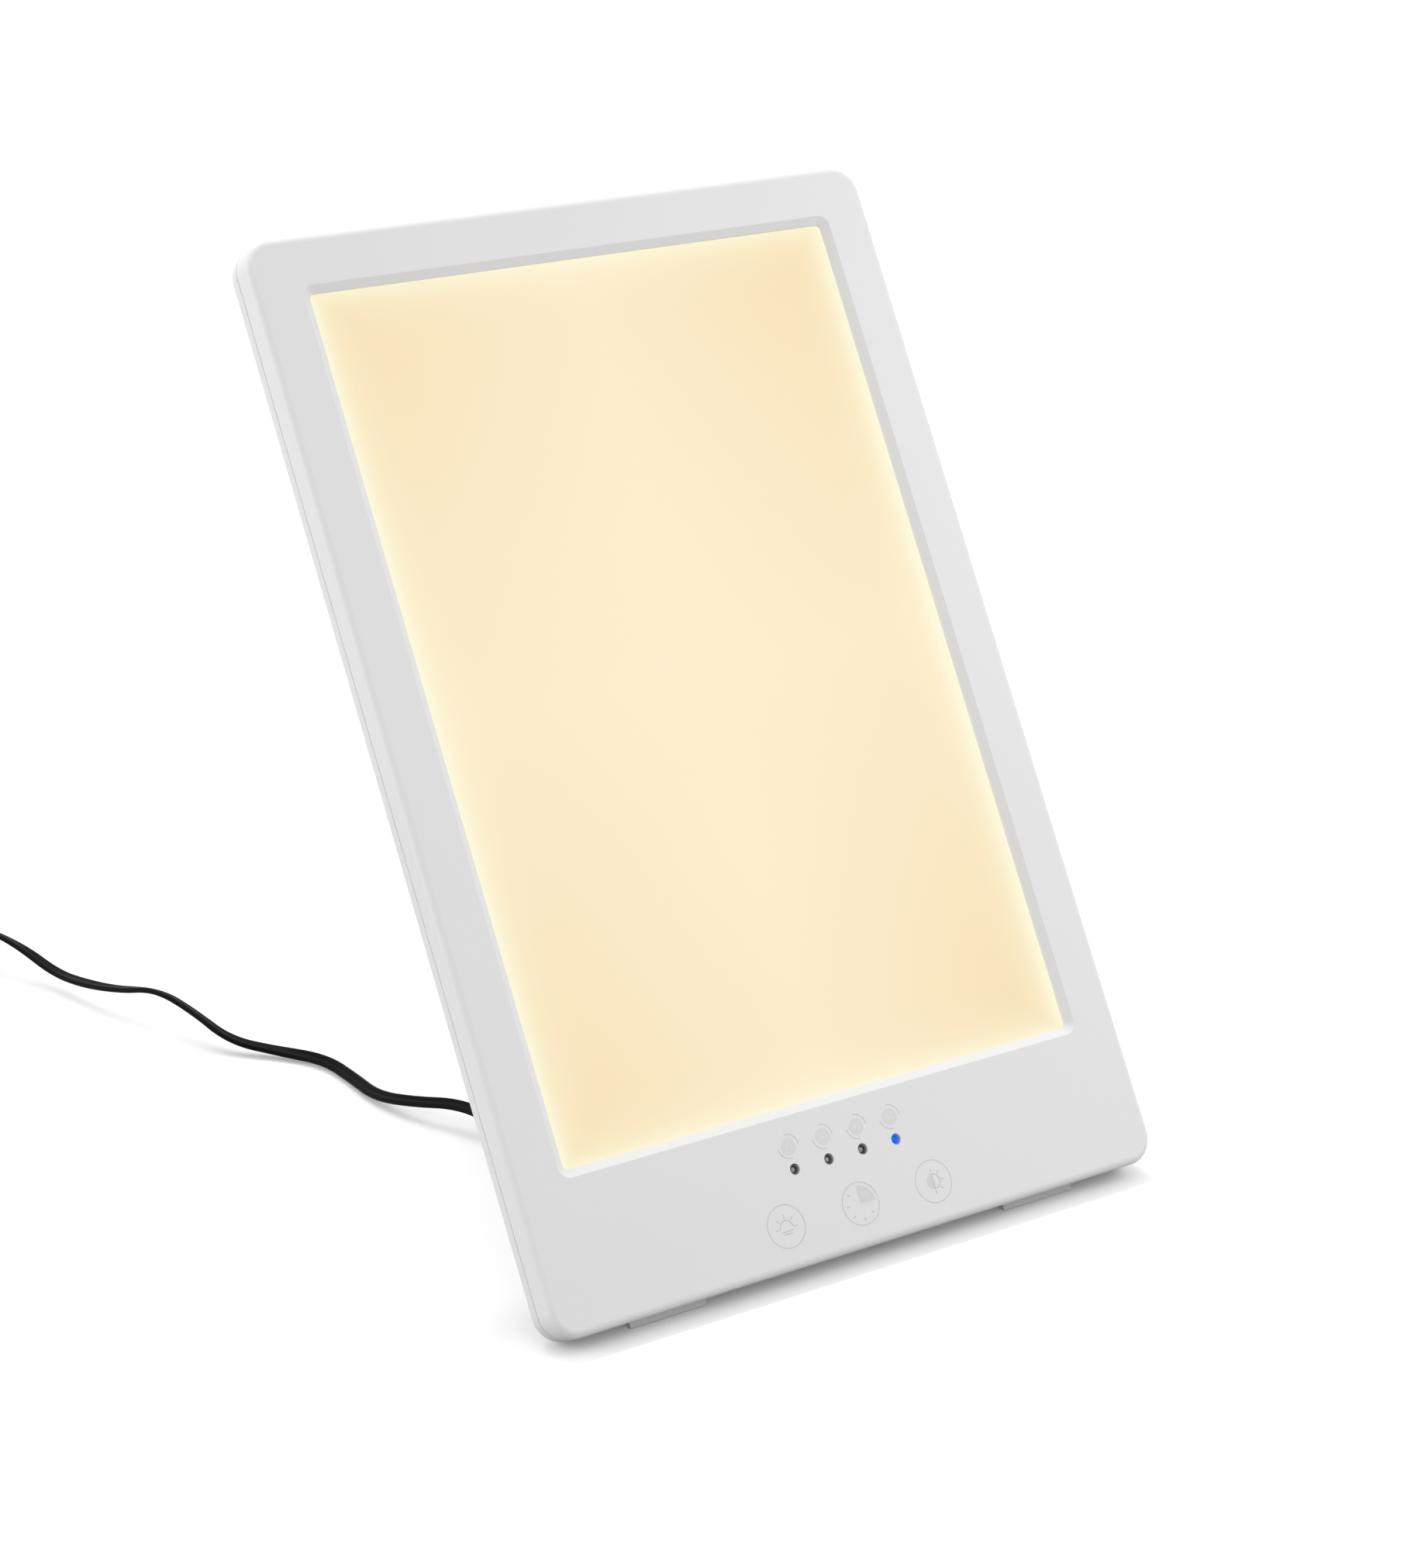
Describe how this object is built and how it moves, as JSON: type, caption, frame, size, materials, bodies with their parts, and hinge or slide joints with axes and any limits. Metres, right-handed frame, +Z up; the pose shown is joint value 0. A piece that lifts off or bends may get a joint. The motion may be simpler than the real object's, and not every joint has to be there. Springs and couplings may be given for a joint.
{
  "type": "light therapy lamp",
  "caption": "Slim white light therapy panel that leans back on a fold-out rear stand, with a recessed warm lit window, timer lights, touch marks and a low-voltage lead to a wall adapter.",
  "frame": {"origin": "on the surface the lamp stands on, under the centre of the lamp's bounding box without its cord", "axes": "+Z up, the lit face looks towards -Y and up, +X to the right seen from the front"},
  "size_m": [0.322, 0.3636, 0.2637],
  "materials": {
    "housing_plastic": "satin off-white",
    "opal_panel": "matt opal",
    "clear_acrylic": "clear polished",
    "white_film": "white film",
    "tray_aluminium": "mill finish",
    "strip_board": "white solder mask",
    "circuit_board": "green solder mask",
    "component_plastic": "moulded black",
    "dark_plastic": "black",
    "lamp_lens": "clear lens",
    "spring_steel": "plain",
    "screw_steel": "zinc",
    "contact_brass": "nickelled",
    "foot_rubber": "grey matt",
    "foam_rubber": "soft foam",
    "bush_nylon": "natural",
    "washer_rubber": "matt",
    "plug_plastic": "black",
    "cord_rubber": "black satin",
    "tie_rubber": "black",
    "adapter_plastic": "black fine grain"
  },
  "bodies": {
    "panel": {"front_shell": "housing_plastic", "rear_shell": "housing_plastic", "light_seal": "foam_rubber", "diffuser_panel": "opal_panel", "light_guide": "clear_acrylic", "reflector_sheet": "white_film", "heat_tray": "tray_aluminium", "led_strip_left": "strip_board", "led_strip_right": "strip_board", "led_strip_top": "strip_board", "led_strip_bottom": "strip_board", "control_board": "circuit_board", "control_parts": "component_plastic", "led_holder": "dark_plastic", "timer_led_15": "lamp_lens", "timer_led_30": "lamp_lens", "timer_led_45": "lamp_lens", "timer_led_60": "lamp_lens", "touch_springs": "spring_steel", "shell_screws": "screw_steel", "board_screws": "screw_steel", "dc_jack": "dark_plastic", "dc_jack_pin": "contact_brass", "rubber_feet": "foot_rubber", "stand_bushes": "bush_nylon", "dc_plug": "plug_plastic", "dc_plug_barrel": "contact_brass", "dc_plug_relief": "cord_rubber", "cord_free_run": "cord_rubber", "cord_coil": "cord_rubber", "cord_adapter_run": "cord_rubber", "cord_tie": "tie_rubber", "adapter_case": "adapter_plastic", "adapter_cover": "adapter_plastic", "adapter_blades": "contact_brass", "adapter_relief": "cord_rubber"},
    "stand": {"stand_leg": "housing_plastic", "stand_pins": "screw_steel", "stand_washers": "washer_rubber", "stand_shoe": "foot_rubber"}
  },
  "joints": [
    {"name": "stand_hinge", "type": "hinge", "parent": "panel", "child": "stand", "pos_m": [0, 0.01874, 0.14653], "axis": [1, 0, 0], "range_deg": [-49, 0]}
  ]
}
